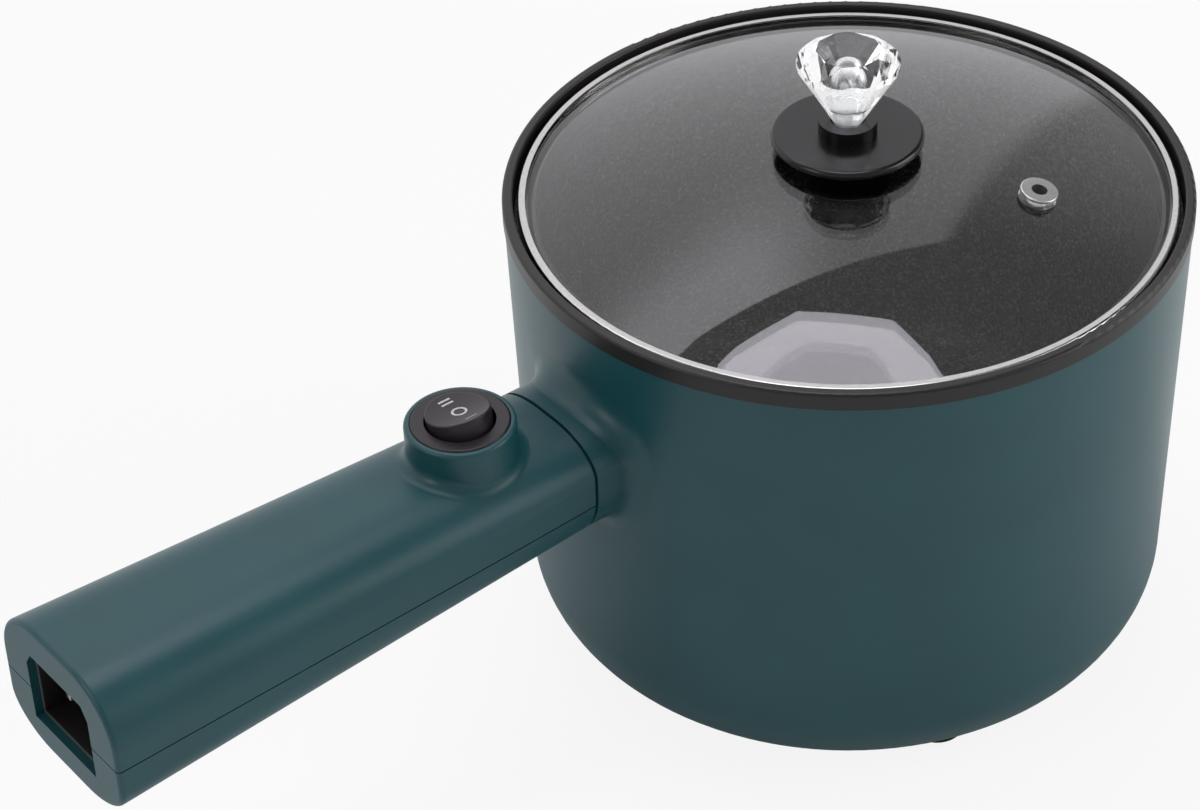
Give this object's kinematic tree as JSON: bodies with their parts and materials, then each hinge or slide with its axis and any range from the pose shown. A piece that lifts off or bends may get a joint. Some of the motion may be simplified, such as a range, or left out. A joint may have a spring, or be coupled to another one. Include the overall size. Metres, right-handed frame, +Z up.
{
  "type": "electric hot pot with lid",
  "caption": "Electric hot pot: non-stick pot fixed in a plastic shell, hollow side handle with a rocker switch and an appliance inlet, loose glass lid with a faceted clear knob.",
  "frame": {"origin": "middle of the whole part's footprint, at the level that the feet stand on", "axes": "+Z up; the handle points along -X and lies in the XZ plane; +Y completes a right-handed frame and is the far side in the picture"},
  "size_m": [0.3176, 0.171, 0.1689],
  "materials": {
    "shell_plastic": "dark teal grey, satin moulded",
    "rim_plastic": "near black, satin",
    "pot_nonstick": "dark speckled non-stick coating",
    "lid_steel": "polished",
    "lid_glass": "smoky tempered",
    "knob_plastic": "gloss black",
    "knob_clear": "clear, faceted",
    "seal_rubber": "silicone",
    "foot_rubber": "matte",
    "switch_plastic": "dark brown black, satin",
    "black_plastic": "matte",
    "base_plastic": "dark grey, fine texture",
    "plated_steel": "zinc plated",
    "contact_metal": "tin plated",
    "cast_aluminium": "as cast",
    "sheet_aluminium": "plain sheet",
    "white_ceramic": "off white",
    "white_sleeve": "off white",
    "lead_brown": "silicone insulation",
    "lead_blue": "silicone insulation",
    "lead_green": "silicone insulation",
    "lead_white": "silicone insulation"
  },
  "bodies": {
    "pot": {"outer_shell": "shell_plastic", "rim_ring": "rim_plastic", "inner_pot": "pot_nonstick", "handle_upper_shell": "shell_plastic", "handle_lower_shell": "shell_plastic", "handle_anchor_plate": "plated_steel", "handle_anchor_screws": "plated_steel", "handle_shell_screws": "plated_steel", "inlet_body": "black_plastic", "inlet_blades": "contact_metal", "switch_housing": "switch_plastic", "switch_terminals": "contact_metal", "half_power_diode": "black_plastic", "heating_plate": "cast_aluminium", "heating_element": "plated_steel", "heater_pins": "plated_steel", "heat_shield": "sheet_aluminium", "thermostat": "white_ceramic", "thermostat_clip": "plated_steel", "clip_screws": "plated_steel", "thermal_fuse": "plated_steel", "fuse_sleeve": "white_sleeve", "fuse_strap": "plated_steel", "earth_lug": "contact_metal", "earth_screw": "plated_steel", "base_cover": "base_plastic", "base_screws": "plated_steel", "foot_1": "foot_rubber", "foot_2": "foot_rubber", "foot_3": "foot_rubber", "foot_4": "foot_rubber", "foot_5": "foot_rubber", "terminal_block": "white_ceramic", "lead_live": "lead_brown", "lead_neutral": "lead_blue", "lead_switched": "lead_brown", "lead_earth": "lead_green", "lead_fuse": "lead_white", "lead_sensor": "lead_white", "lead_return": "lead_white"},
    "lid": {"lid_rim": "lid_steel", "lid_glass": "lid_glass", "steam_eyelet": "lid_steel", "knob_base": "knob_plastic", "knob_crystal": "knob_clear", "knob_gasket_top": "seal_rubber", "knob_gasket_low": "seal_rubber", "knob_cap": "knob_plastic", "knob_screw": "plated_steel"},
    "rocker": {"switch_rocker": "switch_plastic", "switch_plunger": "white_sleeve", "switch_spring": "plated_steel"},
    "contact_lever": {"switch_contact_lever": "contact_metal"}
  },
  "joints": [
    {"name": "lid_lift", "type": "slide", "parent": "pot", "child": "lid", "axis": [0, 0, 1], "range_m": [0, 0.08]},
    {"name": "rocker_tilt", "type": "hinge", "parent": "pot", "child": "rocker", "pos_m": [-0.04625, 0, 0.1148], "axis": [1, 0, 0], "range_deg": [0, 20]},
    {"name": "contact_lever_tilt", "type": "hinge", "parent": "pot", "child": "contact_lever", "pos_m": [-0.04625, 0, 0.1039], "axis": [1, 0, 0], "range_deg": [-8, 0]}
  ],
  "couplings": [
    {"joint": "contact_lever_tilt", "follows": "rocker_tilt", "ratio": -0.4}
  ]
}
